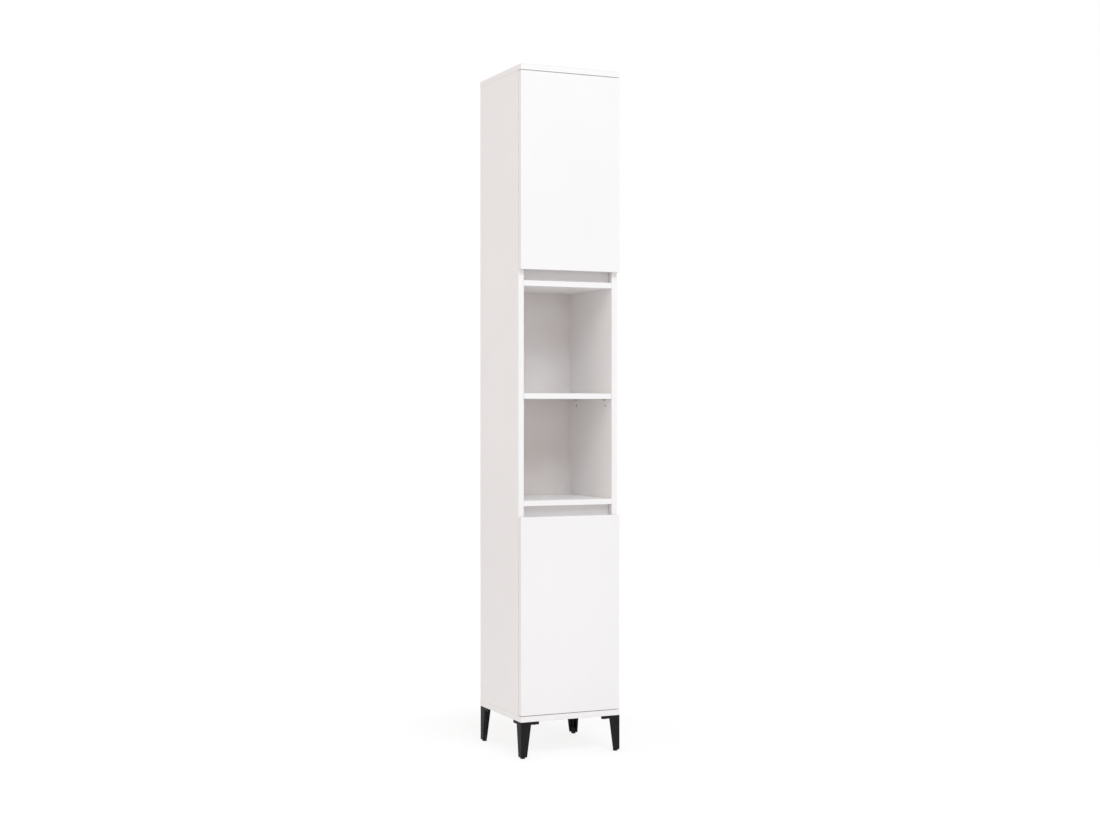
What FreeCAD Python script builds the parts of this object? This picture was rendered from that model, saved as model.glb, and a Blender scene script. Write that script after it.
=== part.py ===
"""Tall slim bathroom cabinet: a cupboard with a door at the top and one at the bottom,
open shelves between them and four angled legs. Millimetres, +Z up. The doors face -Y.
The origin lies on the floor under the middle of the cabinet."""
import FreeCAD
import Part
import Sketcher
import math
import os
import re

Vector = FreeCAD.Vector
Rotation = FreeCAD.Rotation
DOC = FreeCAD.newDocument("tall_bathroom_cabinet")

# ------------------------------------------------------------ driving dimensions
DIMENSIONS = (
    ("width", 300, "overall width, side to side"),
    ("depth", 300, "overall depth, door fronts to back board"),
    ("body_height", 1800, "underside of the bottom panel to the top"),
    ("leg_height", 100, "floor to the underside of the bottom panel"),
    ("board", 16, "thickness of every carcase board"),
    ("door_board", 16, "thickness of the doors"),
    ("back_board", 3, "thickness of the hardboard back"),
    ("back_inset", 1, "edge of the back board inside the carcase outline"),
    ("door_height", 543, "height of each door"),
    ("door_inset", 0.5, "side edge of a door inside the carcase outline"),
    ("door_reveal", 1.5, "gap between a door and the top or bottom panel"),
    ("bumper_gap", 1.5, "gap between a closed door and the carcase edges"),
    ("bumper_radius", 4, "soft pad between a door and the carcase"),
    ("bumper_play", 0.3, "gap between a pad and the carcase edge"),
    ("bumper_end", 40, "end of a door to its pads"),
    ("recess_height", 29, "finger recess, door edge to fixed shelf"),
    ("recess_depth", 21, "grip rail behind the carcase front edges"),
    ("rail_height", 60, "height of the grip rails"),
    ("lower_open_height", 279, "clear height under the middle shelf"),
    ("inner_shelf_rise", 286, "floor of a cupboard to its shelf"),
    ("inner_shelf_setback", 32, "cupboard shelf behind the carcase front edges"),
    ("shelf_play", 0.5, "gap round the ends of an adjustable shelf"),
    ("joint_play", 0.05, "radial clearance of a fitting in its drilled seat"),
    ("cam_radius", 7.5, "cam lock housing"),
    ("cam_height", 12, "depth of a cam lock housing"),
    ("cam_face", 3, "thickness of the closed face of a cam lock"),
    ("cam_slot", 3.4, "half width of the slot for the bolt in a cam lock"),
    ("cam_gap", 1, "rim of a cam lock to the shank of its bolt"),
    ("cam_offset", 34, "end of a side panel to its cam locks"),
    ("cam_edge", 37, "front or rear edge of a board to its cam locks and dowels"),
    ("bolt_radius", 3.5, "shank of a cam bolt"),
    ("bolt_seat", 11, "depth of a cam bolt in the top or bottom panel"),
    ("bolt_neck_radius", 2.8, "end of a cam bolt, held by the cam"),
    ("bolt_neck", 8, "length of that end"),
    ("dowel_radius", 4, "wooden dowel"),
    ("dowel_seat", 10, "depth of a dowel in a side panel"),
    ("dowel_tail", 20, "depth of a dowel in the end of a board"),
    ("pin_radius", 2.5, "shelf pin"),
    ("pin_seat", 9, "depth of a shelf pin in a side panel"),
    ("pin_reach", 8, "length of a shelf pin under its shelf"),
    ("pin_front", 41.5, "carcase front edges to the first pin column"),
    ("pin_spacing", 192, "first pin column to the second"),
    ("pin_pitch", 16, "pin hole to the spare hole below it"),
    ("staple_width", 10, "crown of a back board staple"),
    ("staple_length", 14, "depth of a staple"),
    ("staple_wire", 1.2, "thickness of a staple's wire"),
    ("staple_end", 60, "end of the back board to the first staple"),
    ("bracket_width", 40, "wall bracket along the back board"),
    ("bracket_depth", 25, "wall bracket under the top panel"),
    ("bracket_drop", 32, "wall bracket down the back board"),
    ("bracket_plate", 2, "thickness of the wall bracket"),
    ("bracket_hole", 3, "radius of the hole for the wall screw"),
    ("bracket_hole_drop", 20, "underside of the top panel to that hole"),
    ("leg_top", 30.5, "width of a leg's wings at the top"),
    ("leg_foot", 18.5, "width of a leg's wings at the foot"),
    ("leg_wall", 4, "thickness of a leg's wings"),
    ("leg_arm", 54, "length of the arms of a leg's flange"),
    ("leg_arm_depth", 10, "width of those arms"),
    ("leg_arm_nose", 3, "bevel at the end of an arm"),
    ("leg_flange", 8, "thickness of the flange"),
    ("leg_rib", 3, "thickness of the diagonal rib inside a leg"),
    ("leg_boss", 13, "height of the boss that holds the glide"),
    ("boss_wall", 3, "wall of the boss round the stem"),
    ("glide_radius", 6.5, "foot glide"),
    ("glide_height", 4, "glide below the leg"),
    ("glide_centre", 9, "outer faces of a leg to the glide's axis"),
    ("stem_radius", 2.5, "stem of a glide"),
    ("stem_length", 9, "length of that stem"),
    ("cup_radius", 17.5, "hinge cup"),
    ("cup_depth", 12, "depth of the hinge cup in the door"),
    ("cup_edge", 5, "side edge of the door to the hinge cup"),
    ("cup_floor", 1, "thickness of the bottom of the cup"),
    ("well_length", 30.8, "hollow of the cup, along the arm"),
    ("well_width", 16, "hollow of the cup, across the arm"),
    ("flange_height", 60, "cup flange, end to end"),
    ("flange_width", 18, "cup flange, across"),
    ("flange_shift", 8, "cup axis to the middle of its flange"),
    ("flange_bevel", 5, "cut corners of the flange and the plate"),
    ("flange_plate", 1, "thickness of the cup flange"),
    ("hinge_end", 95, "end of a door to its hinge"),
    ("arm_length", 58, "hinge arm, front to back"),
    ("arm_start", 1.5, "hinge arm behind the carcase front edges"),
    ("arm_width", 13, "hinge arm, across"),
    ("arm_wall", 1.2, "thickness of the hinge arm"),
    ("arm_reach", 19, "outer face of the arm to the side panel"),
    ("arm_rise", 12, "height of the arm's walls"),
    ("plate_front", 20, "carcase front edges to the mounting plate"),
    ("plate_length", 34, "mounting plate, front to back"),
    ("plate_height", 52, "mounting plate, end to end"),
    ("plate_thickness", 2, "wings of the mounting plate"),
    ("plate_fit", 0.1, "gap between the plate's rib and the arm's walls"),
)

# Small repeated rods and holes are round on the real cabinet. Twelve sides keep them light.
FLATS = 12

STAPLE_ROWS = 6

# A cut that takes away less than this, in cubic millimetres, has missed its board.
LEAST_CUT = 0.1

# Places worked out from the driving dimensions, by name.
PLACES = {
    "top": "(leg_height + body_height)",
    "inner": "(width / 2 - board)",
    "panel_middle": "(width / 2 - board / 2)",
    "front": "(0 - depth / 2)",
    "carcase_front": "(front + door_board + bumper_gap)",
    "board_back": "(depth / 2 - back_board)",
    "floor_level": "(leg_height + board)",
    "ceiling": "(top - board)",
    "upper_door_low": "(ceiling - door_reveal - door_height)",
    "lower_door_low": "(floor_level + door_reveal)",
    "upper_shelf": "(upper_door_low - recess_height - board)",
    "lower_shelf": "(lower_door_low + door_height + recess_height)",
    "middle_shelf": "(lower_shelf + board + lower_open_height)",
    "upper_inner": "(upper_shelf + board + inner_shelf_rise)",
    "lower_inner": "(floor_level + inner_shelf_rise)",
    "upper_rail": "(upper_shelf + board)",
    "lower_rail": "(lower_shelf - rail_height)",
    "rail_front": "(carcase_front + recess_depth)",
    "rail_middle": "(rail_front + board / 2)",
    "cam_front": "(carcase_front + cam_edge)",
    "cam_rear": "(board_back - cam_edge)",
    "pin_near": "(carcase_front + pin_front)",
    "pin_far": "(pin_near + pin_spacing)",
    "wall_hole": "(ceiling - bracket_hole_drop)",
    "cup_middle": "(width / 2 - door_inset - cup_edge - cup_radius)",
    "door_back": "(front + door_board)",
    "neck_start": "(cam_offset - cam_radius - cam_gap)",
    "rib_half": "(leg_rib * sqrt(2) / 4)",
}
SIZE_NAMES = {name for name, _, _ in DIMENSIONS}


def sheet_text(text):
    """Writes an expression with the sheet's own names in place of the short ones."""
    def swap(match):
        word = match.group()
        if word in PLACES:
            return sheet_text(PLACES[word])
        return "Sizes." + word if word in SIZE_NAMES else word
    return re.sub(r"[a-z_]+", swap, text)


def make_sheet():
    sheet = DOC.addObject("Spreadsheet::Sheet", "Sizes")
    for row, (name, size, meaning) in enumerate(DIMENSIONS, start=1):
        sheet.set(f"A{row}", meaning)
        sheet.set(f"B{row}", str(size))
        sheet.setAlias(f"B{row}", name)
    DOC.recompute()
    return sheet


SHEET = make_sheet()


def amount(text):
    return float(SHEET.evalExpression(sheet_text(text)))


def bind(thing, prop, text):
    thing.setExpression(prop, sheet_text(text))


# ------------------------------------------------------------ drawing and shaping
def place(thing, x="0", y="0", z="0", turn=None):
    """Puts a body, solid or copy at a place that follows the sheet."""
    if turn is not None:
        thing.Placement = FreeCAD.Placement(Vector(0, 0, 0), turn)
    for axis, text in zip("xyz", (x, y, z)):
        bind(thing, f".Placement.Base.{axis}", text)


def new_body(label, x="0", y="0", z="0", turn=None):
    body = DOC.addObject("PartDesign::Body", label)
    body.Label = label
    place(body, x, y, z, turn)
    return body


def new_sketch(body, role, offset="0"):
    """A sketch on one of the body's own origin planes, moved along its normal."""
    sketch = body.newObject("Sketcher::SketchObject", body.Label + "_sketch")
    plane = next(item for item in body.Origin.OriginFeatures if item.Role == role)
    sketch.AttachmentSupport = [(plane, "")]
    sketch.MapMode = "FlatFace"
    bind(sketch, ".AttachmentOffset.Base.z", offset)
    return sketch


def tie_point(sketch, line, end, x, y):
    """Ties a point of the sketch to its two distances from the origin."""
    for kind, text, axis in (("DistanceX", x, -2), ("DistanceY", y, -1)):
        if text == "0":
            sketch.addConstraint(Sketcher.Constraint("PointOnObject", line, end, axis))
            continue
        row = sketch.addConstraint(Sketcher.Constraint(kind, -1, 1, line, end, amount(text)))
        bind(sketch, f"Constraints[{row}]", text)


def add_outline(sketch, points):
    """A closed outline of straight lines through the points."""
    spots = [Vector(amount(x), amount(y), 0) for x, y in points]
    first = sketch.GeometryCount
    count = len(spots)
    for step in range(count):
        line = Part.LineSegment(spots[step], spots[(step + 1) % count])
        sketch.addGeometry(line, False)
    joined = []
    for step in range(count):
        after = first + (step + 1) % count
        joined.append(Sketcher.Constraint("Coincident", first + step, 2, after, 1))
    sketch.addConstraint(joined)
    for step, (x, y) in enumerate(points):
        tie_point(sketch, first + step, 1, x, y)


def add_rectangle(sketch, left, low, right, high):
    add_outline(sketch, [(left, low), (right, low), (right, high), (left, high)])


def add_circle(sketch, x, y, radius):
    centre = Vector(amount(x), amount(y), 0)
    ring = Part.Circle(centre, Vector(0, 0, 1), amount(radius))
    index = sketch.addGeometry(ring, False)
    tie_point(sketch, index, 3, x, y)
    row = sketch.addConstraint(Sketcher.Constraint("Radius", index, amount(radius)))
    bind(sketch, f"Constraints[{row}]", radius)


def pad(body, sketch, length, reverse=False):
    feature = body.newObject("PartDesign::Pad", body.Label + "_pad")
    feature.Profile = sketch
    feature.Reversed = reverse
    bind(feature, "Length", length)
    return feature


def pocket(body, sketch, depth, reverse=False):
    feature = body.newObject("PartDesign::Pocket", body.Label + "_pocket")
    feature.Profile = sketch
    feature.Reversed = reverse
    feature.Refine = False
    bind(feature, "Length", depth)
    return feature


def drill(body, role, offset, spots, radius, depth, reverse):
    """Round holes of one size, drilled from one plane."""
    sketch = new_sketch(body, role, offset)
    for x, y in spots:
        add_circle(sketch, x, y, radius)
    return pocket(body, sketch, depth, reverse)


def add_flats(sketch, x, y, radius):
    """A small round section, drawn with FLATS sides."""
    corners = []
    for step in range(FLATS):
        turn = math.radians(360 / FLATS * step)
        corners.append((f"{x} + ({radius}) * ({math.cos(turn):.9f})",
                        f"{y} + ({radius}) * ({math.sin(turn):.9f})"))
    add_outline(sketch, corners)


def drill_small(body, role, offset, spots, radius, depth, reverse):
    """Small holes of one size, drilled from one plane. Each has FLATS sides."""
    for x, y in spots:
        sketch = new_sketch(body, role, offset)
        add_flats(sketch, x, y, radius)
        pocket(body, sketch, depth, reverse)


def small_rod(body, low, radius, length):
    """A rod with FLATS sides along the body's own z axis."""
    sketch = new_sketch(body, "XY_Plane", low)
    add_flats(sketch, "0", "0", radius)
    return pad(body, sketch, length)


def group(label, master, spots):
    """One node of separate solids: the master copied to each (x, y, z, turn)."""
    copies = []
    for number, (x, y, z, turn) in enumerate(spots, start=1):
        copy = DOC.addObject("App::Link", f"{label}_copy_{number}")
        copy.LinkedObject = master
        place(copy, x, y, z, turn)
        copies.append(copy)
    compound = DOC.addObject("Part::Compound", label)
    compound.Label = label
    compound.Links = copies
    return compound


def facing(z_axis, y_axis):
    """The turn that takes a master's own z and y axes to these directions."""
    z_axis = Vector(*z_axis)
    y_axis = Vector(*y_axis)
    return Rotation(y_axis.cross(z_axis), y_axis, z_axis, "ZYX")


# ------------------------------------------------------------ carcase boards
SHELF_ROWS = ("cam_front", "cam_rear")
PIN_ROWS = ("pin_near", "pin_far")
FIXED_SHELVES = ("upper_shelf", "lower_shelf")
LOOSE_SHELVES = ("middle_shelf", "upper_inner", "lower_inner")


def end_panel(label, low, bolt_face, reverse):
    """Top or bottom panel, with a hole for each cam bolt in its inner face."""
    body = new_body(label, z=low)
    outline = new_sketch(body, "XY_Plane")
    add_rectangle(outline, "0 - width / 2", "front", "width / 2", "board_back")
    pad(body, outline, "board")
    spots = [(side + "panel_middle", row) for side in ("0 - ", "") for row in SHELF_ROWS]
    drill_small(body, "XY_Plane", bolt_face, spots, "bolt_radius + joint_play", "bolt_seat", reverse)
    return body


def side_panel(label, left, inner_face, reverse):
    """Side panel, drilled for cams, bolts, dowels and shelf pins."""
    body = new_body(label, x=left)
    outline = new_sketch(body, "YZ_Plane")
    add_rectangle(outline, "carcase_front", "floor_level", "board_back", "ceiling")
    pad(body, outline, "board")

    cams = [(row, level) for row in SHELF_ROWS
            for level in ("floor_level + cam_offset", "ceiling - cam_offset")]
    drill(body, "YZ_Plane", inner_face, cams, "cam_radius + joint_play", "cam_height", reverse)

    bolts = [("board / 2", row) for row in SHELF_ROWS]
    for end, upward in (("floor_level", True), ("ceiling", False)):
        drill_small(body, "XY_Plane", end, bolts, "bolt_radius + joint_play", "cam_offset", upward)

    dowels = [(row, shelf + " + board / 2") for shelf in FIXED_SHELVES for row in SHELF_ROWS]
    dowels += [("rail_middle", rail + " + rail_height / 2") for rail in ("upper_rail", "lower_rail")]
    drill_small(body, "YZ_Plane", inner_face, dowels,
                "dowel_radius + joint_play", "dowel_seat", reverse)

    pins = [(row, shelf + " - pin_radius") for shelf in LOOSE_SHELVES for row in PIN_ROWS]
    pins += [(row, "middle_shelf - pin_radius - pin_pitch") for row in PIN_ROWS]
    drill_small(body, "YZ_Plane", inner_face, pins,
                "pin_radius + joint_play", "pin_seat", reverse)
    return body


def end_holes(body, spots):
    """Dowel holes in both ends of a board that spans the cabinet."""
    for end, rightward in (("0 - inner", True), ("inner", False)):
        drill_small(body, "YZ_Plane", end, spots,
                    "dowel_radius + joint_play", "dowel_tail", rightward)


def fixed_shelf(label, low):
    body = new_body(label, z=low)
    outline = new_sketch(body, "XY_Plane")
    add_rectangle(outline, "0 - inner", "carcase_front", "inner", "board_back")
    pad(body, outline, "board")
    end_holes(body, [(row, "board / 2") for row in SHELF_ROWS])
    return body


def grip_rail(label, low):
    """Upright rail that closes a finger recess behind the edge of a door."""
    body = new_body(label, z=low)
    outline = new_sketch(body, "XY_Plane")
    add_rectangle(outline, "0 - inner", "rail_front", "inner", "rail_front + board")
    pad(body, outline, "rail_height")
    end_holes(body, [("rail_middle", "rail_height / 2")])
    return body


def loose_shelf(label, low, front_edge):
    body = new_body(label, z=low)
    outline = new_sketch(body, "XY_Plane")
    add_rectangle(outline, "shelf_play - inner", front_edge,
                  "inner - shelf_play", "board_back - shelf_play")
    pad(body, outline, "board")
    return body


def back_panel():
    """Thin back board over the rear edges, with a hole for the wall screw."""
    body = new_body("back_panel", y="board_back")
    outline = new_sketch(body, "XZ_Plane")
    add_rectangle(outline, "back_inset - width / 2", "leg_height + back_inset",
                  "width / 2 - back_inset", "top - back_inset")
    pad(body, outline, "back_board", reverse=True)
    drill(body, "XZ_Plane", "0", [("0", "wall_hole")], "bracket_hole", "back_board", False)
    return body


def wall_bracket():
    """Steel angle under the top panel that takes the screw into the wall."""
    body = new_body("wall_bracket", x="0 - bracket_width / 2")
    profile = new_sketch(body, "YZ_Plane")
    add_outline(profile, [
        ("board_back", "ceiling"),
        ("board_back - bracket_depth", "ceiling"),
        ("board_back - bracket_depth", "ceiling - bracket_plate"),
        ("board_back - bracket_plate", "ceiling - bracket_plate"),
        ("board_back - bracket_plate", "ceiling - bracket_drop"),
        ("board_back", "ceiling - bracket_drop"),
    ])
    pad(body, profile, "bracket_width")
    drill(body, "XZ_Plane", "0 - board_back", [("bracket_width / 2", "wall_hole")],
          "bracket_hole", "bracket_plate", True)
    return body


# ------------------------------------------------------------ carcase fittings
def cam_locks():
    """Round locks in the side panels, each slotted for the neck of its bolt."""
    master = new_body("cam_lock_master")
    disc = new_sketch(master, "XY_Plane")
    add_circle(disc, "0", "0", "cam_radius")
    pad(master, disc, "cam_height", reverse=True)
    slot = new_sketch(master, "XY_Plane", "0 - cam_height")
    add_rectangle(slot, "0 - cam_slot", "0 - cam_slot", "cam_slot", "cam_radius + cam_gap")
    pocket(master, slot, "cam_height - cam_face", reverse=True)
    spots = []
    for side, inward in (("0 - inner", 1), ("inner", -1)):
        for row in SHELF_ROWS:
            down = facing((inward, 0, 0), (0, 0, -1))
            spots.append((side, row, "floor_level + cam_offset", down))
            up = facing((inward, 0, 0), (0, 0, 1))
            spots.append((side, row, "ceiling - cam_offset", up))
    return group("cam_locks", master, spots)


def cam_bolts():
    """Bolts in the top and bottom panels that the cam locks pull tight."""
    master = new_body("cam_bolt_master")
    small_rod(master, "0 - bolt_seat", "bolt_radius", "bolt_seat + neck_start")
    small_rod(master, "neck_start", "bolt_neck_radius", "bolt_neck")
    spots = []
    for side in ("0 - panel_middle", "panel_middle"):
        for row in SHELF_ROWS:
            spots.append((side, row, "floor_level", facing((0, 0, 1), (0, 1, 0))))
            spots.append((side, row, "ceiling", facing((0, 0, -1), (0, 1, 0))))
    return group("cam_bolts", master, spots)


def plain_pins(label, radius, seat, reach, spots):
    """Plain pins seated in both side panels at each (y, z)."""
    master = new_body(label + "_master")
    small_rod(master, "0 - " + seat, radius, f"{seat} + {reach}")
    copies = []
    for y, z in spots:
        copies.append(("0 - inner", y, z, facing((1, 0, 0), (0, 1, 0))))
        copies.append(("inner", y, z, facing((-1, 0, 0), (0, 1, 0))))
    return group(label, master, copies)


def dowels():
    spots = [(row, shelf + " + board / 2") for shelf in FIXED_SHELVES for row in SHELF_ROWS]
    spots += [("rail_middle", rail + " + rail_height / 2") for rail in ("upper_rail", "lower_rail")]
    return plain_pins("dowels", "dowel_radius", "dowel_seat", "dowel_tail", spots)


def shelf_pins():
    spots = [(row, shelf + " - pin_radius") for shelf in LOOSE_SHELVES for row in PIN_ROWS]
    return plain_pins("shelf_pins", "pin_radius", "pin_seat", "pin_reach", spots)


def back_staples():
    """Wire staples that hold the back board to the side panels."""
    master = new_body("back_staple_master")
    outline = new_sketch(master, "XY_Plane", "0 - staple_wire / 2")
    add_outline(outline, [
        ("0 - staple_width / 2", "0"),
        ("staple_width / 2", "0"),
        ("staple_width / 2", "staple_length"),
        ("staple_width / 2 - staple_wire", "staple_length"),
        ("staple_width / 2 - staple_wire", "staple_wire"),
        ("staple_wire - staple_width / 2", "staple_wire"),
        ("staple_wire - staple_width / 2", "staple_length"),
        ("0 - staple_width / 2", "staple_length"),
    ])
    pad(master, outline, "staple_wire")
    pitch = f"(body_height - 2 * staple_end) / {STAPLE_ROWS - 1}"
    inward = facing((1, 0, 0), (0, -1, 0))
    spots = [(side, "depth / 2", f"leg_height + staple_end + {step} * {pitch}", inward)
             for side in ("0 - panel_middle", "panel_middle") for step in range(STAPLE_ROWS)]
    return group("back_staples", master, spots)


# ------------------------------------------------------------ legs
def leg(label, x, y, quarter_turns):
    """Moulded leg: two tapering wings and a rib under a flange with two arms."""
    body = new_body(label, x, y, turn=Rotation(Vector(0, 0, 1), 90 * quarter_turns))
    shoulder = "leg_height - leg_flange"
    for role, reverse in (("XZ_Plane", True), ("YZ_Plane", False)):
        wing = new_sketch(body, role)
        add_outline(wing, [
            ("0", "glide_height"), ("leg_foot", "glide_height"), ("leg_top", shoulder), ("0", shoulder),
        ])
        pad(body, wing, "leg_wall", reverse)
    rib = new_sketch(body, "XY_Plane", "glide_height")
    end = "(leg_foot + leg_wall) / 2"
    add_outline(rib, [
        ("leg_wall / 2 - rib_half", "leg_wall / 2 + rib_half"),
        ("leg_wall / 2 + rib_half", "leg_wall / 2 - rib_half"),
        (f"{end} + rib_half", f"{end} - rib_half"),
        (f"{end} - rib_half", f"{end} + rib_half"),
    ])
    pad(body, rib, shoulder + " - glide_height")
    flange = new_sketch(body, "XY_Plane", shoulder)
    add_outline(flange, [
        ("0", "0"),
        ("leg_arm", "0"),
        ("leg_arm", "leg_arm_depth - leg_arm_nose"),
        ("leg_arm - leg_arm_nose", "leg_arm_depth"),
        ("leg_top", "leg_arm_depth"),
        ("leg_top", "leg_top"),
        ("leg_arm_depth", "leg_top"),
        ("leg_arm_depth", "leg_arm - leg_arm_nose"),
        ("leg_arm_depth - leg_arm_nose", "leg_arm"),
        ("0", "leg_arm"),
    ])
    pad(body, flange, "leg_flange")
    boss = new_sketch(body, "XY_Plane", "glide_height")
    reach = "glide_centre + stem_radius + boss_wall"
    add_outline(boss, [
        ("0", "0"), (reach, "0"), (reach, "glide_centre"), ("glide_centre", reach), ("0", reach),
    ])
    pad(body, boss, "leg_boss")
    drill_small(body, "XY_Plane", "glide_height", [("glide_centre", "glide_centre")],
                "stem_radius + joint_play", "stem_length", True)
    return body


def leg_glides():
    """Round foot glides, each with a stem pushed into its leg."""
    master = new_body("leg_glide_master")
    disc = new_sketch(master, "XY_Plane")
    add_circle(disc, "0", "0", "glide_radius")
    pad(master, disc, "glide_height")
    small_rod(master, "glide_height", "stem_radius", "stem_length")
    across = ("glide_centre - width / 2", "width / 2 - glide_centre")
    along = ("front + glide_centre", "board_back - glide_centre")
    spots = [(x, y, "0", None) for x in across for y in along]
    return group("leg_glides", master, spots)


# ------------------------------------------------------------ doors and hinges
def door(label, low):
    """Door with a bore for each hinge cup in its back face."""
    body = new_body(label, y="door_back")
    outline = new_sketch(body, "XZ_Plane")
    add_rectangle(outline, "door_inset - width / 2", low,
                  "width / 2 - door_inset", f"{low} + door_height")
    pad(body, outline, "door_board")
    spots = [("cup_middle", level) for level in hinge_levels(low)]
    drill(body, "XZ_Plane", "0", spots, "cup_radius + joint_play", "cup_depth", True)
    return body


def hinge_levels(low):
    return [f"{low} + hinge_end", f"{low} + door_height - hinge_end"]


def door_bumpers(label, low):
    """Soft pads on the back of a door's free edge."""
    pads = []
    for number, level in enumerate((f"{low} + bumper_end",
                                    f"{low} + door_height - bumper_end"), start=1):
        disc = DOC.addObject("Part::Prism", f"{label}_pad_{number}")
        disc.Polygon = FLATS
        bind(disc, "Circumradius", "bumper_radius")
        bind(disc, "Height", "bumper_gap - bumper_play")
        place(disc, "0 - panel_middle", "door_back", level, facing((0, 1, 0), (0, 0, -1)))
        pads.append(disc)
    compound = DOC.addObject("Part::Compound", label)
    compound.Label = label
    compound.Links = pads
    return compound


def hinge_cup(label, level):
    """Die-cast cup with a well for the arm and a flange on the door's back face."""
    body = new_body(label, x="cup_middle", y="door_back", z=level)
    ring = new_sketch(body, "XZ_Plane")
    add_circle(ring, "0", "0", "cup_radius")
    pad(body, ring, "cup_depth")
    plate = new_sketch(body, "XZ_Plane")
    left = "0 - flange_shift - flange_width / 2"
    right = "flange_width / 2 - flange_shift"
    half = "flange_height / 2"
    add_outline(plate, [
        (f"{left} + flange_bevel", f"0 - {half}"),
        (f"{right} - flange_bevel", f"0 - {half}"),
        (right, f"flange_bevel - {half}"),
        (right, f"{half} - flange_bevel"),
        (f"{right} - flange_bevel", half),
        (f"{left} + flange_bevel", half),
        (left, f"{half} - flange_bevel"),
        (left, f"flange_bevel - {half}"),
    ])
    pad(body, plate, "flange_plate", reverse=True)
    well = new_sketch(body, "XZ_Plane", "0 - flange_plate")
    add_rectangle(well, "0 - well_length / 2", "0 - well_width / 2",
                  "well_length / 2", "well_width / 2")
    pocket(body, well, "cup_depth + flange_plate - cup_floor", reverse=True)
    return body


def hinge_arm(label, level):
    """Channel-shaped steel arm, open towards the side panel."""
    body = new_body(label, x="inner - arm_reach", y="carcase_front", z=level)
    profile = new_sketch(body, "XZ_Plane", "0 - arm_start")
    half = "arm_width / 2"
    add_outline(profile, [
        ("0", f"0 - {half}"),
        ("arm_rise", f"0 - {half}"),
        ("arm_rise", f"arm_wall - {half}"),
        ("arm_wall", f"arm_wall - {half}"),
        ("arm_wall", f"{half} - arm_wall"),
        ("arm_rise", f"{half} - arm_wall"),
        ("arm_rise", half),
        ("0", half),
    ])
    pad(body, profile, "arm_length", reverse=True)
    return body


def hinge_plate(label, level):
    """Mounting plate on the side panel: two wings and a rib that carries the arm."""
    body = new_body(label, x="inner", y="carcase_front", z=level)
    wings = new_sketch(body, "YZ_Plane")
    rear = "plate_front + plate_length"
    half = "plate_height / 2"
    add_outline(wings, [
        ("plate_front + flange_bevel", f"0 - {half}"),
        (f"{rear} - flange_bevel", f"0 - {half}"),
        (rear, f"flange_bevel - {half}"),
        (rear, f"{half} - flange_bevel"),
        (f"{rear} - flange_bevel", half),
        ("plate_front + flange_bevel", half),
        ("plate_front", f"{half} - flange_bevel"),
        ("plate_front", f"flange_bevel - {half}"),
    ])
    pad(body, wings, "plate_thickness", reverse=True)
    rib = new_sketch(body, "YZ_Plane")
    side = "arm_width / 2 - arm_wall - plate_fit"
    add_rectangle(rib, "plate_front", f"0 - ({side})", rear, side)
    pad(body, rib, "arm_reach - arm_wall", reverse=True)
    return body


# ------------------------------------------------------------ the cabinet
def make_parts():
    parts = [
        end_panel("top_panel", "ceiling", "0", True),
        end_panel("bottom_panel", "leg_height", "board", False),
        side_panel("left_side_panel", "0 - width / 2", "board", False),
        side_panel("right_side_panel", "inner", "0", True),
        fixed_shelf("upper_fixed_shelf", "upper_shelf"),
        fixed_shelf("lower_fixed_shelf", "lower_shelf"),
        grip_rail("upper_grip_rail", "upper_rail"),
        grip_rail("lower_grip_rail", "lower_rail"),
        loose_shelf("middle_shelf", "middle_shelf", "carcase_front"),
        loose_shelf("upper_inner_shelf", "upper_inner", "carcase_front + inner_shelf_setback"),
        loose_shelf("lower_inner_shelf", "lower_inner", "carcase_front + inner_shelf_setback"),
        back_panel(),
        wall_bracket(),
        cam_locks(),
        cam_bolts(),
        dowels(),
        shelf_pins(),
        back_staples(),
        leg("front_left_leg", "0 - width / 2", "front", 0),
        leg("front_right_leg", "width / 2", "front", 1),
        leg("rear_right_leg", "width / 2", "board_back", 2),
        leg("rear_left_leg", "0 - width / 2", "board_back", 3),
        leg_glides(),
    ]
    for storey, low in (("upper", "upper_door_low"), ("lower", "lower_door_low")):
        parts.append(door(f"{storey}_door", low))
        parts.append(door_bumpers(f"{storey}_door_bumpers", low))
        for end, level in zip(("low", "high"), hinge_levels(low)):
            name = f"{storey}_door_{end}_hinge"
            parts.append(hinge_cup(f"{name}_cup", level))
            parts.append(hinge_arm(f"{name}_arm", level))
            parts.append(hinge_plate(f"{name}_plate", level))
    return parts


def check(parts):
    """Stops the build on a failed feature, a cut that removed nothing or a bad shape."""
    for item in DOC.Objects:
        if "Invalid" in item.State or "Error" in item.State:
            raise RuntimeError(f"{item.Label} failed")
        if item.TypeId == "PartDesign::Pocket":
            removed = item.BaseFeature.Shape.Volume - item.Shape.Volume
            if removed < LEAST_CUT:
                raise RuntimeError(f"{item.Label} cuts nothing")
    for part in parts:
        if part.Shape.isNull() or not part.Shape.isValid() or not part.Shape.Solids:
            raise RuntimeError(f"{part.Label} has no sound shape")


def main():
    parts = make_parts()
    DOC.recompute()
    check(parts)
    os.makedirs("parts", exist_ok=True)
    for part in parts:
        part.Shape.exportStep(f"parts/{part.Label}.step")
    print(f"{len(parts)} sub-parts written")


main()
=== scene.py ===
"""Tall slim bathroom cabinet: the finish of every board and fitting, its screws and the studio.

Lengths in the code are metres unless a name ends in _mm or _MM. The doors face -Y and +Z is up.
"""
import math

import bmesh
import bpy
from bpy.props import (
    FloatProperty, FloatVectorProperty, IntProperty, PointerProperty, StringProperty,
)
from mathutils import Matrix, Vector


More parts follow.
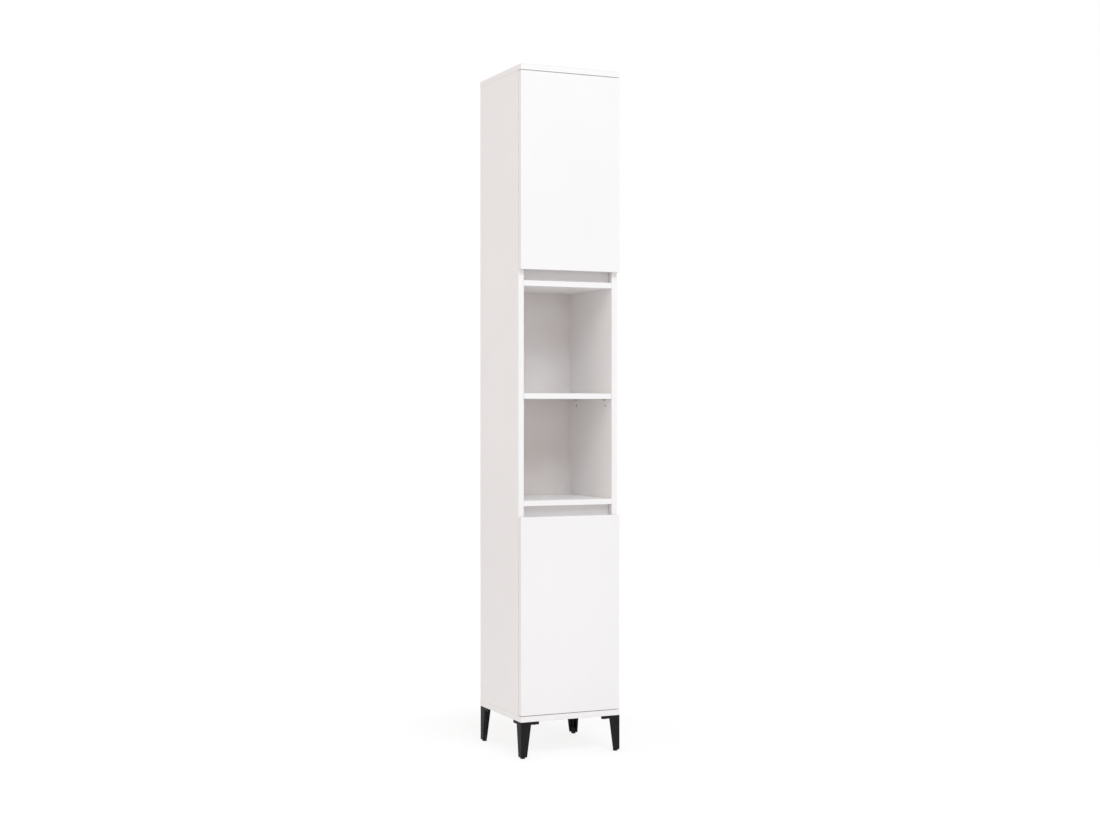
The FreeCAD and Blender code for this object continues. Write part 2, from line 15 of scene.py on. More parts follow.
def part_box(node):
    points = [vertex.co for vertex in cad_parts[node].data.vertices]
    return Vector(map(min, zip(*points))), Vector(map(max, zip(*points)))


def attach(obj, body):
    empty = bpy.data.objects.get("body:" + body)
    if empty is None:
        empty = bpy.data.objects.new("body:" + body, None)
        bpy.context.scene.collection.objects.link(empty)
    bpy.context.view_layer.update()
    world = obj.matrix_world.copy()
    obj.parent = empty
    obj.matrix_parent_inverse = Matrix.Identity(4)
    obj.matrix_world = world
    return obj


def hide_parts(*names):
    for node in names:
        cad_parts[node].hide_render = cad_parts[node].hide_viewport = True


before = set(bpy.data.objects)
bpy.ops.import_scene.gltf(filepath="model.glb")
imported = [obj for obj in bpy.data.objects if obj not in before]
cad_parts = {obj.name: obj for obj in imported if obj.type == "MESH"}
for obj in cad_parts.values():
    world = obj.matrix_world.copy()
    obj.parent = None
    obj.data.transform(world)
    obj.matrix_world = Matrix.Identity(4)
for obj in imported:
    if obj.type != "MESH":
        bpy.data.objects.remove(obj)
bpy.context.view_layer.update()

bl_info = {
    "name": "Tall bathroom cabinet",
    "version": (1, 0, 0),
    "blender": (4, 5, 0),
    "location": "3D View > Sidebar > Cabinet",
    "description": "Finishes a tall slim cabinet with two doors and open shelves",
    "category": "Object",
}

MM = 0.001

# ------------------------------------------------------------ the nodes, by what they are made of
UPRIGHT_BOARDS = ("left_side_panel", "right_side_panel")
LEVEL_BOARDS = (
    "top_panel", "bottom_panel", "upper_fixed_shelf", "lower_fixed_shelf",
    "middle_shelf", "upper_inner_shelf", "lower_inner_shelf",
)
FACING_BOARDS = ("upper_grip_rail", "lower_grip_rail", "upper_door", "lower_door")
LEGS = ("front_left_leg", "front_right_leg", "rear_right_leg", "rear_left_leg")
STOREYS = ("upper", "lower")
HINGES = [f"{storey}_door_{end}_hinge" for storey in STOREYS for end in ("low", "high")]

# ------------------------------------------------------------ materials that operators share
CAST_ZINC = "zinc_cast_nickel_plated"
SCREW_STEEL = "steel_zinc_plated_screw"

# ------------------------------------------------------------ what the skins are made of
NOISE_ROUGHNESS = 0.55
# Noise seldom leaves the middle of its range, so ramps over these spans use the whole of it.
SOFT, CRISP, GENTLE = (0.3, 0.7), (0.35, 0.65), (0.2, 0.8)
CLOUD_MM = 320      # slow drift of the shade across a board
PEARL_MM = 0.9      # pimples of the plate that melamine is pressed against
CHIP_MM = 2.2       # chips in the core of a board
# Browns of the chipboard core, set darker than the real chips as painted shade inside the deep
# drilled holes.
SHADED_CHIP_DARK, SHADED_CHIP_PALE = "6B553B", "8A7150"
BAND_MM = 0.4       # thickness of the edge banding
HAIRLINE_MM = 0.08  # half the width of the line between banding and face
HAIRLINE_GREY = "DAD7D2"
OUTER_SHARE = 0.0004  # a point this near an outer face, as a share of the board's size, is on it
FIBRE_MM, FELT_MM = 2.5, 1.1  # fibres of the back board, and the relief of its face
FIBRE_DARK, FIBRE_PALE = "7B5A38", "9A7750"

# ------------------------------------------------------------ how meshes are joined and smoothed
WELD_REACH = 0.002 * MM
ARRIS_ANGLE = math.radians(40)
SHARP_ANGLE = math.radians(35)
# Outline of a pan head from its seat to its top, in shares of its radius and its rise.
HEAD_PROFILE = ((0, 0), (1, 0), (1, 0.25), (0.93, 0.62), (0.74, 0.9), (0.45, 1), (0, 1.03))


# ------------------------------------------------------------ small tools for materials
def channels(code):
    """The three channels, 0 to 255, of a colour written as six hex digits."""
    return [int(code[place:place + 2], 16) for place in (0, 2, 4)]


def code_of(values):
    """The six hex digits of three channels."""
    return "".join(f"{max(0, int(value)):02X}" for value in values)


def linear(code):
    """An sRGB colour, written as six hex digits, as the linear colour that a shader takes."""
    shares = [value / 255 for value in channels(code)]
    lit = [s / 12.92 if s <= 0.04045 else ((s + 0.055) / 1.055) ** 2.4 for s in shares]
    return (*lit, 1.0)


def node(tree, kind, settings=None, links=None, **values):
    """Adds a node.

    settings go on the node, values on its inputs, and links join other outputs to its inputs.
    An underscore in the name of a value stands for a space.
    """
    made = tree.nodes.new(kind)
    for name, value in (settings or {}).items():
        setattr(made, name, value)
    for name, value in values.items():
        made.inputs[name.replace("_", " ")].default_value = value
    for name, socket in (links or {}).items():
        tree.links.new(socket, made.inputs[name])
    return made


def new_material(name):
    """An empty material with its shader and output, and the shader to build on."""
    material = bpy.data.materials.new(name)
    material.use_nodes = True
    tree = material.node_tree
    tree.nodes.clear()
    shader = tree.nodes.new("ShaderNodeBsdfPrincipled")
    output = tree.nodes.new("ShaderNodeOutputMaterial")
    tree.links.new(shader.outputs["BSDF"], output.inputs["Surface"])
    return material, tree, shader


def paint(tree, shader, **looks):
    """Sets inputs of the shader, each to a number or colour, or from another node's output."""
    for name, value in looks.items():
        socket = shader.inputs[name.replace("_", " ")]
        if isinstance(value, (int, float, tuple)):
            socket.default_value = value
        else:
            tree.links.new(value, socket)


def grain(tree, width_mm, stretch=(1, 1, 1), detail=3.0):
    """Noise whose lumps are about width_mm wide on the real object."""
    place = node(tree, "ShaderNodeTexCoord")
    mapped = node(tree, "ShaderNodeMapping", links={"Vector": place.outputs["Object"]},
                  Scale=stretch)
    noise = node(tree, "ShaderNodeTexNoise", links={"Vector": mapped.outputs["Vector"]},
                 Scale=1 / (width_mm * MM), Detail=detail, Roughness=NOISE_ROUGHNESS)
    return noise.outputs["Fac"]


def blend_colour(tree, factor, first, second):
    """first where factor is 0 and second where it is 1. Each is a hex colour or a socket."""
    mix = node(tree, "ShaderNodeMix", {"data_type": "RGBA"})
    for value, slot in ((factor, 0), (first, 6), (second, 7)):
        if isinstance(value, str):
            mix.inputs[slot].default_value = linear(value)
        else:
            tree.links.new(value, mix.inputs[slot])
    return mix.outputs[2]


def ramp(tree, value, span, reach=(0.0, 1.0)):
    """A value's stretch along span, mapped smoothly onto reach."""
    made = node(tree, "ShaderNodeMapRange", {"interpolation_type": "SMOOTHSTEP"}, {0: value},
                From_Min=span[0], From_Max=span[1], To_Min=reach[0], To_Max=reach[1])
    return made.outputs[0]


def maths(tree, operation, *values):
    """The result of a math node on numbers and sockets."""
    made = node(tree, "ShaderNodeMath", {"operation": operation})
    for slot, value in enumerate(values):
        if isinstance(value, (int, float)):
            made.inputs[slot].default_value = value
        else:
            tree.links.new(value, made.inputs[slot])
    return made.outputs[0]


def bump(tree, height, strength, depth_mm):
    """A normal for a relief that is depth_mm deep at full strength."""
    return node(tree, "ShaderNodeBump", links={"Height": height},
                Strength=strength, Distance=depth_mm * MM).outputs["Normal"]


def clouded(tree, first, second):
    """Two near shades that drift into one another across a board."""
    return blend_colour(tree, ramp(tree, grain(tree, CLOUD_MM, detail=2), SOFT), first, second)


# ------------------------------------------------------------ board materials
def depth_below_face(tree, axis):
    """Distance to the nearer of a board's two faces on an axis, as a share of its size."""
    place = node(tree, "ShaderNodeTexCoord")
    parts = node(tree, "ShaderNodeSeparateXYZ", links={"Vector": place.outputs["Generated"]})
    value = parts.outputs[axis]
    return maths(tree, "MINIMUM", value, maths(tree, "SUBTRACT", 1.0, value))


def inside_board(tree):
    """1 on the walls of drilled holes, 0 on the six outer faces of a board."""
    nearest = depth_below_face(tree, "X")
    for axis in "YZ":
        nearest = maths(tree, "MINIMUM", nearest, depth_below_face(tree, axis))
    return maths(tree, "GREATER_THAN", nearest, OUTER_SHARE)


def band_joint(tree, axis, board_mm):
    """Hairline between a face's melamine and the banding, drawn on the edges of a board."""
    depth = depth_below_face(tree, axis)
    offset = maths(tree, "ABSOLUTE", maths(tree, "SUBTRACT", depth, BAND_MM / board_mm))
    return maths(tree, "LESS_THAN", offset, HAIRLINE_MM / board_mm)


def melamine(name, axis, board_mm, finish):
    """Chipboard faced with white melamine, pressed against a pearl-grained plate.

    The eye sees a clean satin white with a fine pimpled grain that only shows in a glancing light.
    """
    material, tree, shader = new_material(name)
    skin = clouded(tree, finish.board_white, finish.board_shade)
    chips = ramp(tree, grain(tree, CHIP_MM, detail=5), CRISP)
    # The core's brown, darkened as painted shade, colours the walls and floors of the drilled
    # holes.
    core_and_hole_shade = blend_colour(tree, chips, SHADED_CHIP_DARK, SHADED_CHIP_PALE)
    faced = blend_colour(tree, band_joint(tree, axis, board_mm), skin, HAIRLINE_GREY)
    pearl = grain(tree, PEARL_MM, detail=2)
    satin, spread = finish.board_roughness, 0.04
    paint(tree, shader, IOR=1.5,
          Base_Color=blend_colour(tree, inside_board(tree), faced, core_and_hole_shade),
          Roughness=ramp(tree, pearl, GENTLE, (satin - spread, satin + spread)),
          Normal=bump(tree, pearl, strength=0.35, depth_mm=0.03))
    return material


def hardboard(finish):
    """Pressed wood-fibre board: brown and fibrous behind, white lacquer on the inner face."""
    material, tree, shader = new_material("hardboard_lacquered_inside")
    fibre = ramp(tree, grain(tree, FIBRE_MM, stretch=(1, 1, 0.25), detail=6), SOFT)
    raw = blend_colour(tree, fibre, FIBRE_DARK, FIBRE_PALE)
    lacquer = clouded(tree, finish.back_white, finish.board_shade)
    place = node(tree, "ShaderNodeTexCoord")
    normal = node(tree, "ShaderNodeSeparateXYZ", links={"Vector": place.outputs["Normal"]})
    faces_front = maths(tree, "LESS_THAN", normal.outputs["Y"], -0.5)
    raw_roughness, smoother = 0.78, 0.33
    rough = maths(tree, "SUBTRACT", raw_roughness, maths(tree, "MULTIPLY", faces_front, smoother))
    paint(tree, shader,
          Base_Color=blend_colour(tree, faces_front, raw, lacquer),
          Roughness=rough,
          Normal=bump(tree, grain(tree, FELT_MM, detail=4), strength=0.4, depth_mm=0.08))
    return material


# ------------------------------------------------------------ fitting materials
def moulded_plastic(name, code, roughness, grit_mm, level):
    """Injection-moulded plastic from a spark-eroded mould: an even, dull, faintly gritty skin."""
    material, tree, shader = new_material(name)
    darker, spread, patch_mm = 5, 0.06, 14
    shade = code_of(value - darker for value in channels(code))
    grit = grain(tree, grit_mm)
    patches = ramp(tree, grain(tree, patch_mm, detail=2), SOFT)
    paint(tree, shader, Specular_IOR_Level=level,
          Base_Color=blend_colour(tree, patches, code, shade),
          Roughness=ramp(tree, grit, GENTLE, (roughness - spread, roughness + spread)),
          Normal=bump(tree, grit, strength=0.5, depth_mm=0.05))
    return material


def plated_metal(name, code, roughness, drawn=(1, 1, 1)):
    """Plated metal. Drawing leaves faint lines along its direction, and a casting has none."""
    material, tree, shader = new_material(name)
    shade_share, line_mm, bloom_mm = 0.93, 0.6, 9
    shade = code_of(value * shade_share for value in channels(code))
    lines = grain(tree, line_mm, stretch=drawn)
    bloom = ramp(tree, grain(tree, bloom_mm), SOFT)
    paint(tree, shader, Metallic=1.0,
          Base_Color=blend_colour(tree, bloom, code, shade),
          Roughness=ramp(tree, lines, GENTLE, (roughness - 0.05, roughness + 0.07)),
          Normal=bump(tree, lines, strength=0.25, depth_mm=0.01))
    return material


def beech():
    """Compressed beech, raw: pale pinkish brown with short flecks along the dowel."""
    material, tree, shader = new_material("beech_raw_turned")
    flecks = ramp(tree, grain(tree, width_mm=0.7, stretch=(0.12, 1, 1), detail=4), CRISP)
    paint(tree, shader, Roughness=0.7,
          Base_Color=blend_colour(tree, flecks, "CFA878", "B88C5B"),
          Normal=bump(tree, flecks, strength=0.3, depth_mm=0.05))
    return material


def silicone():
    """Soft clear silicone, cast in drops: milky at the rim and slightly shiny."""
    material, tree, shader = new_material("silicone_clear_cast")
    cloud = ramp(tree, grain(tree, width_mm=3, detail=2), SOFT)
    paint(tree, shader, Roughness=0.22, Transmission_Weight=0.35, IOR=1.41,
          Base_Color=blend_colour(tree, cloud, "ECECE8", "DEDEDA"))
    return material


# ------------------------------------------------------------ small tools for meshes
def dress(name, material):
    """Gives a CAD node its material."""
    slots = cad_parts[name].data.materials
    slots.clear()
    slots.append(material)


def ease_edges(name, width_mm, segments=2):
    """Rounds the arrises of a CAD node, as banding, pressing or moulding leaves them."""
    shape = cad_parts[name]
    weld = shape.modifiers.new("join_faces", "WELD")
    weld.merge_threshold = WELD_REACH
    bevel = shape.modifiers.new("eased_edges", "BEVEL")
    bevel.width = width_mm * MM
    bevel.segments = segments
    bevel.limit_method = "ANGLE"
    bevel.angle_limit = ARRIS_ANGLE
    bevel.use_clamp_overlap = True
    bevel.harden_normals = True


def finished(shape, name):
    """A bmesh as mesh data. The bmesh is freed."""
    mesh = bpy.data.meshes.new(name)
    shape.to_mesh(mesh)
    shape.free()
    return mesh


def mesh_piece(name, mesh, material, body):
    """A finished mesh as a piece that rides on a body."""
    mesh.materials.clear()
    mesh.materials.append(material)
    piece = bpy.data.objects.new(name, mesh)
    bpy.context.scene.collection.objects.link(piece)
    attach(piece, body)
    return piece


def turned(shape, profile, segments):
    """Revolves (radius, height) points about the z axis. The first and last lie on the axis."""
    turns = [2 * math.pi * step / segments for step in range(segments)]
    rings = []
    for radius, height in profile:
        if radius == 0:
            spots = [(0, 0, height)]
        else:
            spots = [(radius * math.cos(turn), radius * math.sin(turn), height) for turn in turns]
        rings.append([shape.verts.new(spot) for spot in spots])
    for below, above in zip(rings, rings[1:]):
        for step in range(segments):
            after = (step + 1) % segments
            if len(below) == 1:
                corners = (below[0], above[after], above[step])
            elif len(above) == 1:
                corners = (below[step], below[after], above[0])
            else:
                corners = (below[step], below[after], above[after], above[step])
            shape.faces.new(corners)


def add_cross(cutter, place, length, width, depth):
    """Two crossed bars, to cut a screwdriver's recess at a matrix."""
    for bar in ((length, width, depth), (width, length, depth)):
        bmesh.ops.create_cube(cutter, size=1.0, matrix=place @ Matrix.Diagonal((*bar, 1)))


def cut_mesh(solid, cutter_mesh):
    """solid with the cutter's shape taken out of it."""
    scene = bpy.context.scene
    body = bpy.data.objects.new("cut_body", solid)
    cutter = bpy.data.objects.new("cut_tool", cutter_mesh)
    for thing in (body, cutter):
        scene.collection.objects.link(thing)
    cut = body.modifiers.new("cut", "BOOLEAN")
    cut.operation = "DIFFERENCE"
    cut.use_self = True
    cut.object = cutter
    bpy.context.view_layer.update()
    evaluated = body.evaluated_get(bpy.context.evaluated_depsgraph_get())
    made = bpy.data.meshes.new_from_object(evaluated)
    for thing in (body, cutter):
        bpy.data.objects.remove(thing)
    return made


def screw_head_mesh(sizes):
    """Pan head with a cross recess, seat at z = 0 and head towards +z."""
    radius, rise = sizes.screw_radius, sizes.screw_rise
    head = bmesh.new()
    turned(head, [(out * radius, up * rise) for out, up in HEAD_PROFILE], sizes.segments)
    bmesh.ops.recalc_face_normals(head, faces=head.faces)
    solid = finished(head, "screw_head")
    cross = bmesh.new()
    over_top = Matrix.Translation((0, 0, 1.05 * rise))
    add_cross(cross, over_top, length=1.16 * radius, width=0.22 * radius, depth=1.2 * rise)
    return cut_mesh(solid, finished(cross, "screw_cross"))


def stamped(template, places):
    """One mesh with a copy of the template at each matrix."""
    whole = bmesh.new()
    for place in places:
        copy = template.copy()
        copy.transform(place)
        whole.from_mesh(copy)
        bpy.data.meshes.remove(copy)
    mesh = finished(whole, "stamped")
    for face in mesh.polygons:
        face.use_smooth = True
    mesh.set_sharp_from_angle(angle=SHARP_ANGLE)
    return mesh


def add_screws(name, places, body):
    """A piece with a screw head at each matrix, which rides on a body."""
    heads = stamped(screw_head_mesh(bpy.context.scene.cabinet_fittings), places)
    mesh_piece(name, heads, bpy.data.materials[SCREW_STEEL], body)


def facing(spot, direction, spin=0.0):
    """The matrix that puts a template at spot with its +z along direction."""
    turn = Vector(direction).to_track_quat("Z", "Y").to_matrix().to_4x4()
    return Matrix.Translation(spot) @ turn @ Matrix.Rotation(spin, 4, "Z")


def middle(name):
    """The middle of a node's box."""
    low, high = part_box(name)
    return (low + high) / 2


# ------------------------------------------------------------ what a user may change
class CabinetFinish(bpy.types.PropertyGroup):
    """Colours and gloss of the cabinet."""
    board_white: StringProperty(
        name="Board white", description="Melamine colour, six hex digits", default="F6F3F2")
    board_shade: StringProperty(
        name="Board shade", description="Slightly deeper patches of the melamine", default="F4F1F0")
    back_white: StringProperty(
        name="Back lacquer", description="Inner face of the back board", default="EAE1DD")
    leg_black: StringProperty(
        name="Leg black", description="Moulded legs", default="1D1A1C")
    board_roughness: FloatProperty(
        name="Board roughness", description="Satin of the melamine", default=0.42, min=0.1, max=0.9)
    arris_mm: FloatProperty(
        name="Arris", description="Rounding along the edges of the boards, in mm",
        default=0.5, min=0.1, max=1.5)


class CabinetFittings(bpy.types.PropertyGroup):
    """Sizes of the screws."""
    screw_radius: FloatProperty(
        name="Screw head", description="Radius of a small screw's head",
        default=3.4 * MM, min=1 * MM, max=6 * MM, unit="LENGTH")
    screw_rise: FloatProperty(
        name="Screw height", description="Height of a small screw's head",
        default=1.7 * MM, min=0.5 * MM, max=4 * MM, unit="LENGTH")
    segments: IntProperty(
        name="Roundness", description="Sides of a turned piece", default=28, min=12, max=64)


class CabinetStudio(bpy.types.PropertyGroup):
    """Light and camera."""
    sky: FloatProperty(
        name="Sky", description="Strength of the even light from all round",
        default=0.665, min=0, max=3)
    sky_tint: FloatVectorProperty(
        name="Sky tint", description="Colour of that light",
        subtype="COLOR", default=(1.0, 0.962, 0.974))
    front_lamp: FloatProperty(
        name="Front lamp", description="Power of the large lamp high in front",
        default=212, min=0, max=2000)
    left_lamp: FloatProperty(
        name="Left lamp", description="Power of the warm lamp on the left",
        default=21.3, min=0, max=2000)
    lens: FloatProperty(
        name="Lens", description="Focal length in mm on a 36 mm wide sensor",
        default=56.19, min=20, max=200)
    camera_spot: FloatVectorProperty(
        name="Camera", description="Where the camera stands", subtype="TRANSLATION", unit="LENGTH",
        default=(-1.9866, -4.4600, 0.9563))
    camera_turn: FloatProperty(
        name="Camera turn", description="Angle of view to the cabinet's front",
        subtype="ANGLE", default=math.radians(24.05))
    camera_tilt: FloatProperty(
        name="Camera tilt", description="Downward tilt of the camera",
        subtype="ANGLE", default=math.radians(0.0965))


# ------------------------------------------------------------ operators, one for each kind of piece
class CABINET_OT_boards(bpy.types.Operator):
    """White melamine on the side panels, ends, shelves, rails and doors"""
    bl_idname = "cabinet.boards"
    bl_label = "Finish the boards"

    def execute(self, context):
        finish = context.scene.cabinet_finish
        sets = (("X", UPRIGHT_BOARDS), ("Z", LEVEL_BOARDS), ("Y", FACING_BOARDS))
        for axis, names in sets:
            low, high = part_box(names[0])
            thickness = getattr(high - low, axis.lower()) / MM
            skin = melamine(f"melamine_satin_white_{axis.lower()}", axis, thickness, finish)
            for name in names:
                dress(name, skin)
                ease_edges(name, finish.arris_mm)
        return {"FINISHED"}


class CABINET_OT_back(bpy.types.Operator):
    """Hardboard back, brown behind and white inside, with its staples"""
    bl_idname = "cabinet.back"
    bl_label = "Finish the back"

    def execute(self, context):
        wire = plated_metal("steel_wire_galvanised", "B9BABA", roughness=0.38, drawn=(1, 1, 0.1))
        dress("back_panel", hardboard(context.scene.cabinet_finish))
        dress("back_staples", wire)
        return {"FINISHED"}


class CABINET_OT_legs(bpy.types.Operator):
    """Moulded black legs and glides, and the screws that hold the legs"""
    bl_idname = "cabinet.legs"
    bl_label = "Finish the legs"

    def execute(self, context):
        leg_skin = moulded_plastic(
            "polypropylene_black_moulded", context.scene.cabinet_finish.leg_black,
            roughness=0.55, grit_mm=0.5, level=0.15)
        for name in LEGS:
            dress(name, leg_skin)
            ease_edges(name, width_mm=0.8, segments=3)
        dress("leg_glides", moulded_plastic(
            "polyethylene_black_smooth", "1A191A", roughness=0.4, grit_mm=1.2, level=0.3))
        ease_edges("leg_glides", width_mm=1.2, segments=3)
        plated_metal(SCREW_STEEL, "A9ABAE", roughness=0.34)
        self.add_leg_screws()
        return {"FINISHED"}

    def add_leg_screws(self):
        """Two screws up through each leg's arms into the bottom panel."""
        along, across, flange = 43 * MM, 5 * MM, 8 * MM
        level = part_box("bottom_panel")[0].z - flange
        places = []
        for name in LEGS:
            low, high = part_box(name)
            sign_x = 1 if middle(name).x < 0 else -1
            sign_y = 1 if middle(name).y < 0 else -1
            corner_x = low.x if sign_x > 0 else high.x
            corner_y = low.y if sign_y > 0 else high.y
            for dx, dy, spin in ((along, across, 0.4), (across, along, 1.1)):
                spot = (corner_x + sign_x * dx, corner_y + sign_y * dy, level)
                places.append(facing(spot, (0, 0, -1), spin))
        add_screws("leg_screws", places, "root")


class CABINET_OT_fittings(bpy.types.Operator):
    """Cams, bolts, dowels, shelf pins, bumpers, the wall bracket and the hinges"""
    bl_idname = "cabinet.fittings"
    bl_label = "Finish the fittings"

    def execute(self, context):
        cast = plated_metal(CAST_ZINC, "C4C2BE", roughness=0.36)
        pressed = plated_metal(
            "steel_pressed_nickel_plated", "D0CEC9", roughness=0.27, drawn=(1, 0.15, 1))
        tumbled = plated_metal("steel_tumbled_nickel_plated", "DCDAD6", roughness=0.5)
        dress("cam_locks", cast)
        dress("cam_bolts", pressed)
        dress("shelf_pins", tumbled)
        dress("dowels", beech())
        dress("wall_bracket", pressed)
        ease_edges("wall_bracket", width_mm=0.4)
        for storey in STOREYS:
            dress(f"{storey}_door_bumpers", silicone())
        for name in HINGES:
            dress(f"{name}_cup", cast)
            dress(f"{name}_plate", cast)
            dress(f"{name}_arm", pressed)
            ease_edges(f"{name}_arm", width_mm=0.5)
            ease_edges(f"{name}_plate", width_mm=0.4)
        return {"FINISHED"}


class CABINET_OT_cams(bpy.types.Operator):
    """Cam locks with a cross for the screwdriver sunk in each closed face"""
    bl_idname = "cabinet.cams"
    bl_label = "Detail the cam locks"

    def execute(self, context):
        locks = bmesh.new()
        locks.from_mesh(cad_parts["cam_locks"].data)
        bmesh.ops.remove_doubles(locks, verts=locks.verts, dist=WELD_REACH)
        solid = finished(locks, "cam_lock_solids")
        crossed = cut_mesh(solid, finished(self.crosses(), "cam_crosses"))
        whole = stamped(crossed, [Matrix()])
        cast = bpy.data.materials[CAST_ZINC]
        piece = mesh_piece("cam_locks_crossed", whole, cast, "root")
        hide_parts("cam_locks")
        return {"FINISHED"}

    def crosses(self):
        """A cross at each lock, half sunk in its face. The front locks are turned less."""
        from_edge, from_end = 37 * MM, 34 * MM
        cutter = bmesh.new()
        for name, inward in (("left_side_panel", 1), ("right_side_panel", -1)):
            low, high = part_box(name)
            face = high.x if inward > 0 else low.x
            for row in (low.y + from_edge, high.y - from_edge):
                for level in (low.z + from_end, high.z - from_end):
                    place = facing((face, row, level), (inward, 0, 0), spin=0.4 + 3 * row)
                    add_cross(cutter, place, length=7 * MM, width=1.5 * MM, depth=3 * MM)
        return cutter


class CABINET_OT_hinge_screws(bpy.types.Operator):
    """Screws of the hinge cups, plates and arms"""
    bl_idname = "cabinet.hinge_screws"
    bl_label = "Add the hinge screws"

    def execute(self, context):
        for storey in STOREYS:
            on_door, on_side = [], []
            for end in ("low", "high"):
                name = f"{storey}_door_{end}_hinge"
                on_door += self.cup_places(name)
                on_side += self.plate_places(name) + self.arm_places(name)
            add_screws(f"{storey}_cup_screws", on_door, f"{storey}_door_body")
            add_screws(f"{storey}_arm_screws", on_side, "root")
        return {"FINISHED"}

    def cup_places(self, name):
        """On the flange of the cup, above and below its well."""
        reach, inset = 24 * MM, 25.5 * MM
        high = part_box(f"{name}_cup")[1]
        level = middle(f"{name}_cup").z
        return [
            facing((high.x - inset, high.y, level + sign * reach), (0, 1, 0), spin=0.5 + sign)
            for sign in (-1, 1)]

    def plate_places(self, name):
        """On the two wings of the mounting plate."""
        reach, wing = 16 * MM, 2 * MM
        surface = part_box(f"{name}_plate")[1].x - wing
        centre = middle(f"{name}_plate")
        return [
            facing((surface, centre.y, centre.z + sign * reach), (-1, 0, 0), spin=0.9 + sign)
            for sign in (-1, 1)]

    def arm_places(self, name):
        """Along the back of the arm, as shares of its length from the front."""
        low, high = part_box(f"{name}_arm")
        level = middle(f"{name}_arm").z
        length = high.y - low.y
        return [
            facing((low.x, low.y + share * length, level), (-1, 0, 0), spin=5 * share)
            for share in (0.45, 0.8)]


class CABINET_OT_bracket_screws(bpy.types.Operator):
    """Two screws that hold the wall bracket to the top panel"""
    bl_idname = "cabinet.bracket_screws"
    bl_label = "Add the bracket screws"

    def execute(self, context):
        aside, inset, plate = 12 * MM, 10 * MM, 2 * MM
        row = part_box("wall_bracket")[0].y + inset
        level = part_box("top_panel")[0].z - plate
        places = [facing((sign * aside, row, level), (0, 0, -1), spin=sign) for sign in (-1, 1)]
        add_screws("bracket_screws", places, "root")
        return {"FINISHED"}


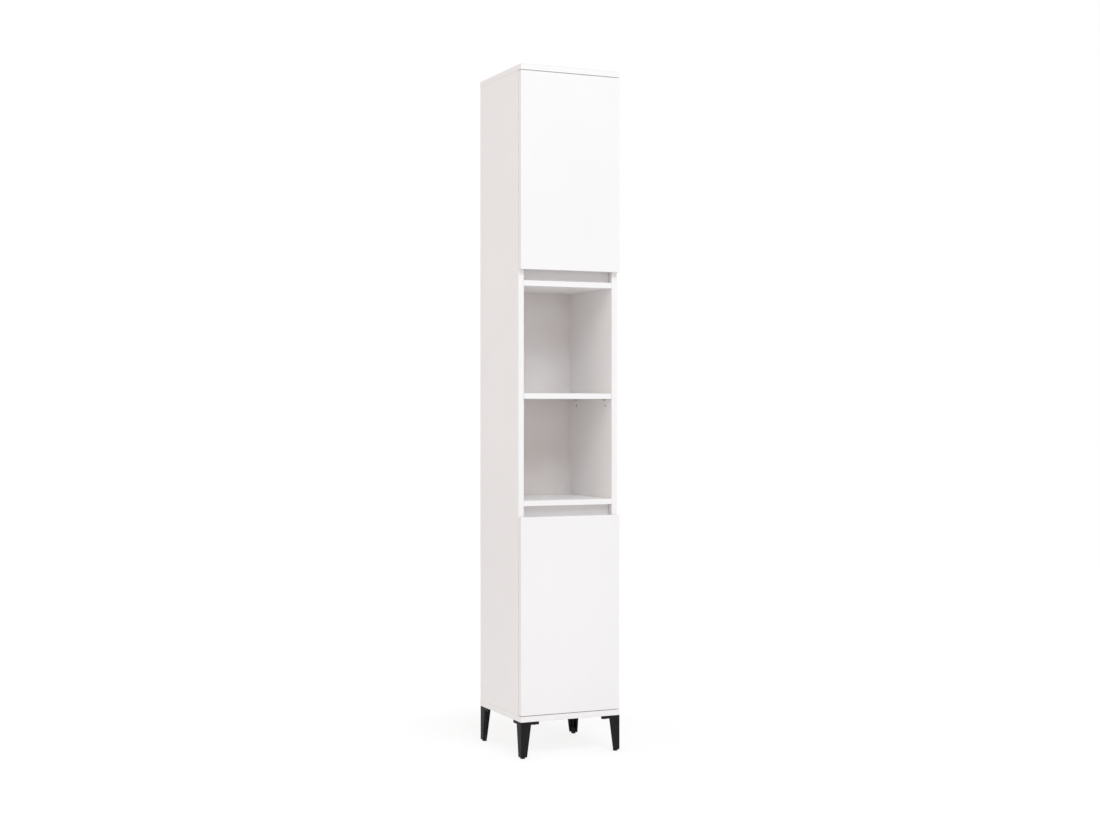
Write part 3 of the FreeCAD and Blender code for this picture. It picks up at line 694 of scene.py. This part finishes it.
class CABINET_OT_studio(bpy.types.Operator):
    """Pale floor, even light and the camera"""
    bl_idname = "cabinet.studio"
    bl_label = "Add the studio"

    def execute(self, context):
        settings = context.scene.cabinet_studio
        self.add_floor()
        self.add_sky(context.scene, settings)
        self.add_lamp("front_lamp", spot=(-0.75, -5.4, 5.8), size=(4.5, 3.0),
                      power=settings.front_lamp, colour=(0.84, 0.95, 1.0))
        self.add_lamp("left_lamp", spot=(-4.0, -1.8, 3.0), size=(2.5, 2.5),
                      power=settings.left_lamp, colour=(1.0, 0.887, 0.704))
        self.add_camera(context.scene, settings)
        return {"FINISHED"}

    def seen_directly(self, tree):
        """1 for rays from the camera, or from a mirror or glass, and 0 for light that bounces."""
        rays = node(tree, "ShaderNodeLightPath")
        seen = maths(tree, "MAXIMUM", rays.outputs["Is Camera Ray"], rays.outputs["Is Glossy Ray"])
        return maths(tree, "MAXIMUM", seen, rays.outputs["Is Transmission Ray"])

    def add_floor(self):
        """A pale disc that keeps the shadow and runs out into white."""
        disc = bmesh.new()
        bmesh.ops.create_circle(disc, cap_ends=True, segments=96, radius=6.0)
        data = finished(disc, "floor")
        floor = bpy.data.objects.new("floor", data)
        bpy.context.scene.collection.objects.link(floor)
        material, tree, shader = new_material("floor_paint_white_matt")
        paint(tree, shader, Base_Color=linear("F6F6F5"), Roughness=0.9, Specular_IOR_Level=0.1)
        place = node(tree, "ShaderNodeTexCoord")
        reach = node(tree, "ShaderNodeVectorMath", {"operation": "LENGTH"},
                     {0: place.outputs["Object"]}).outputs["Value"]
        near, far = 0.35, 1.1
        white_near, white_far = 0.72, 1.0
        whiteness = ramp(tree, reach, (near, far), (white_near, white_far))
        fade = maths(tree, "MULTIPLY", whiteness, self.seen_directly(tree))
        white = node(tree, "ShaderNodeEmission", Strength=1.07)
        mix = node(tree, "ShaderNodeMixShader",
                   links={0: fade, 1: shader.outputs["BSDF"], 2: white.outputs["Emission"]})
        output = next(item for item in tree.nodes if item.type == "OUTPUT_MATERIAL")
        tree.links.new(mix.outputs["Shader"], output.inputs["Surface"])
        data.materials.append(material)

    def add_sky(self, scene, settings):
        """Even tinted light from all round, and plain white where it is seen directly."""
        world = bpy.data.worlds.new("studio_white")
        scene.world = world
        world.use_nodes = True
        tree = world.node_tree
        tree.nodes.clear()
        light = node(tree, "ShaderNodeBackground",
                     Color=(*settings.sky_tint, 1), Strength=settings.sky)
        seen = node(tree, "ShaderNodeBackground", Color=(1, 1, 1, 1), Strength=1.0)
        mix = node(tree, "ShaderNodeMixShader", links={
            0: self.seen_directly(tree), 1: light.outputs[0], 2: seen.outputs[0]})
        output = node(tree, "ShaderNodeOutputWorld")
        tree.links.new(mix.outputs["Shader"], output.inputs["Surface"])

    def add_lamp(self, name, spot, size, power, colour):
        """A soft lamp that faces the middle of the cabinet."""
        data = bpy.data.lights.new(name, "AREA")
        data.shape = "RECTANGLE"
        data.size, data.size_y = size
        data.energy = power
        data.color = colour
        lamp = bpy.data.objects.new(name, data)
        lamp.location = spot
        aim = Vector((0, 0, 1.0)) - Vector(spot)
        lamp.rotation_euler = aim.to_track_quat("-Z", "Y").to_euler()
        bpy.context.scene.collection.objects.link(lamp)

    def add_camera(self, scene, settings):
        """The camera of the view from the front left."""
        data = bpy.data.cameras.new("camera")
        data.lens = settings.lens
        data.sensor_width = 36
        data.clip_end = 60
        camera = bpy.data.objects.new("camera", data)
        camera.location = settings.camera_spot
        camera.rotation_euler = (math.pi / 2 - settings.camera_tilt, 0, -settings.camera_turn)
        scene.collection.objects.link(camera)
        scene.camera = camera
        scene.view_settings.view_transform = "Standard"


class CABINET_PT_panel(bpy.types.Panel):
    """The cabinet's settings and steps"""
    bl_idname = "CABINET_PT_panel"
    bl_label = "Tall bathroom cabinet"
    bl_space_type = "VIEW_3D"
    bl_region_type = "UI"
    bl_category = "Cabinet"

    def draw(self, context):
        scene = context.scene
        for group in (scene.cabinet_finish, scene.cabinet_fittings, scene.cabinet_studio):
            box = self.layout.box()
            for name in group.__annotations__:
                box.prop(group, name)
        for operator in OPERATORS:
            self.layout.operator(operator.bl_idname)


GROUPS = (CabinetFinish, CabinetFittings, CabinetStudio)
OPERATORS = (
    CABINET_OT_boards, CABINET_OT_back, CABINET_OT_legs, CABINET_OT_fittings, CABINET_OT_cams,
    CABINET_OT_hinge_screws, CABINET_OT_bracket_screws, CABINET_OT_studio,
)


def register():
    for item in (*GROUPS, *OPERATORS, CABINET_PT_panel):
        bpy.utils.register_class(item)
    bpy.types.Scene.cabinet_finish = PointerProperty(type=CabinetFinish)
    bpy.types.Scene.cabinet_fittings = PointerProperty(type=CabinetFittings)
    bpy.types.Scene.cabinet_studio = PointerProperty(type=CabinetStudio)


def unregister():
    del bpy.types.Scene.cabinet_studio
    del bpy.types.Scene.cabinet_fittings
    del bpy.types.Scene.cabinet_finish
    for item in reversed((*GROUPS, *OPERATORS, CABINET_PT_panel)):
        bpy.utils.unregister_class(item)


def main():
    register()
    for operator in OPERATORS:
        category, name = operator.bl_idname.split(".")
        getattr(getattr(bpy.ops, category), name)()


if __name__ == "__main__":
    main()
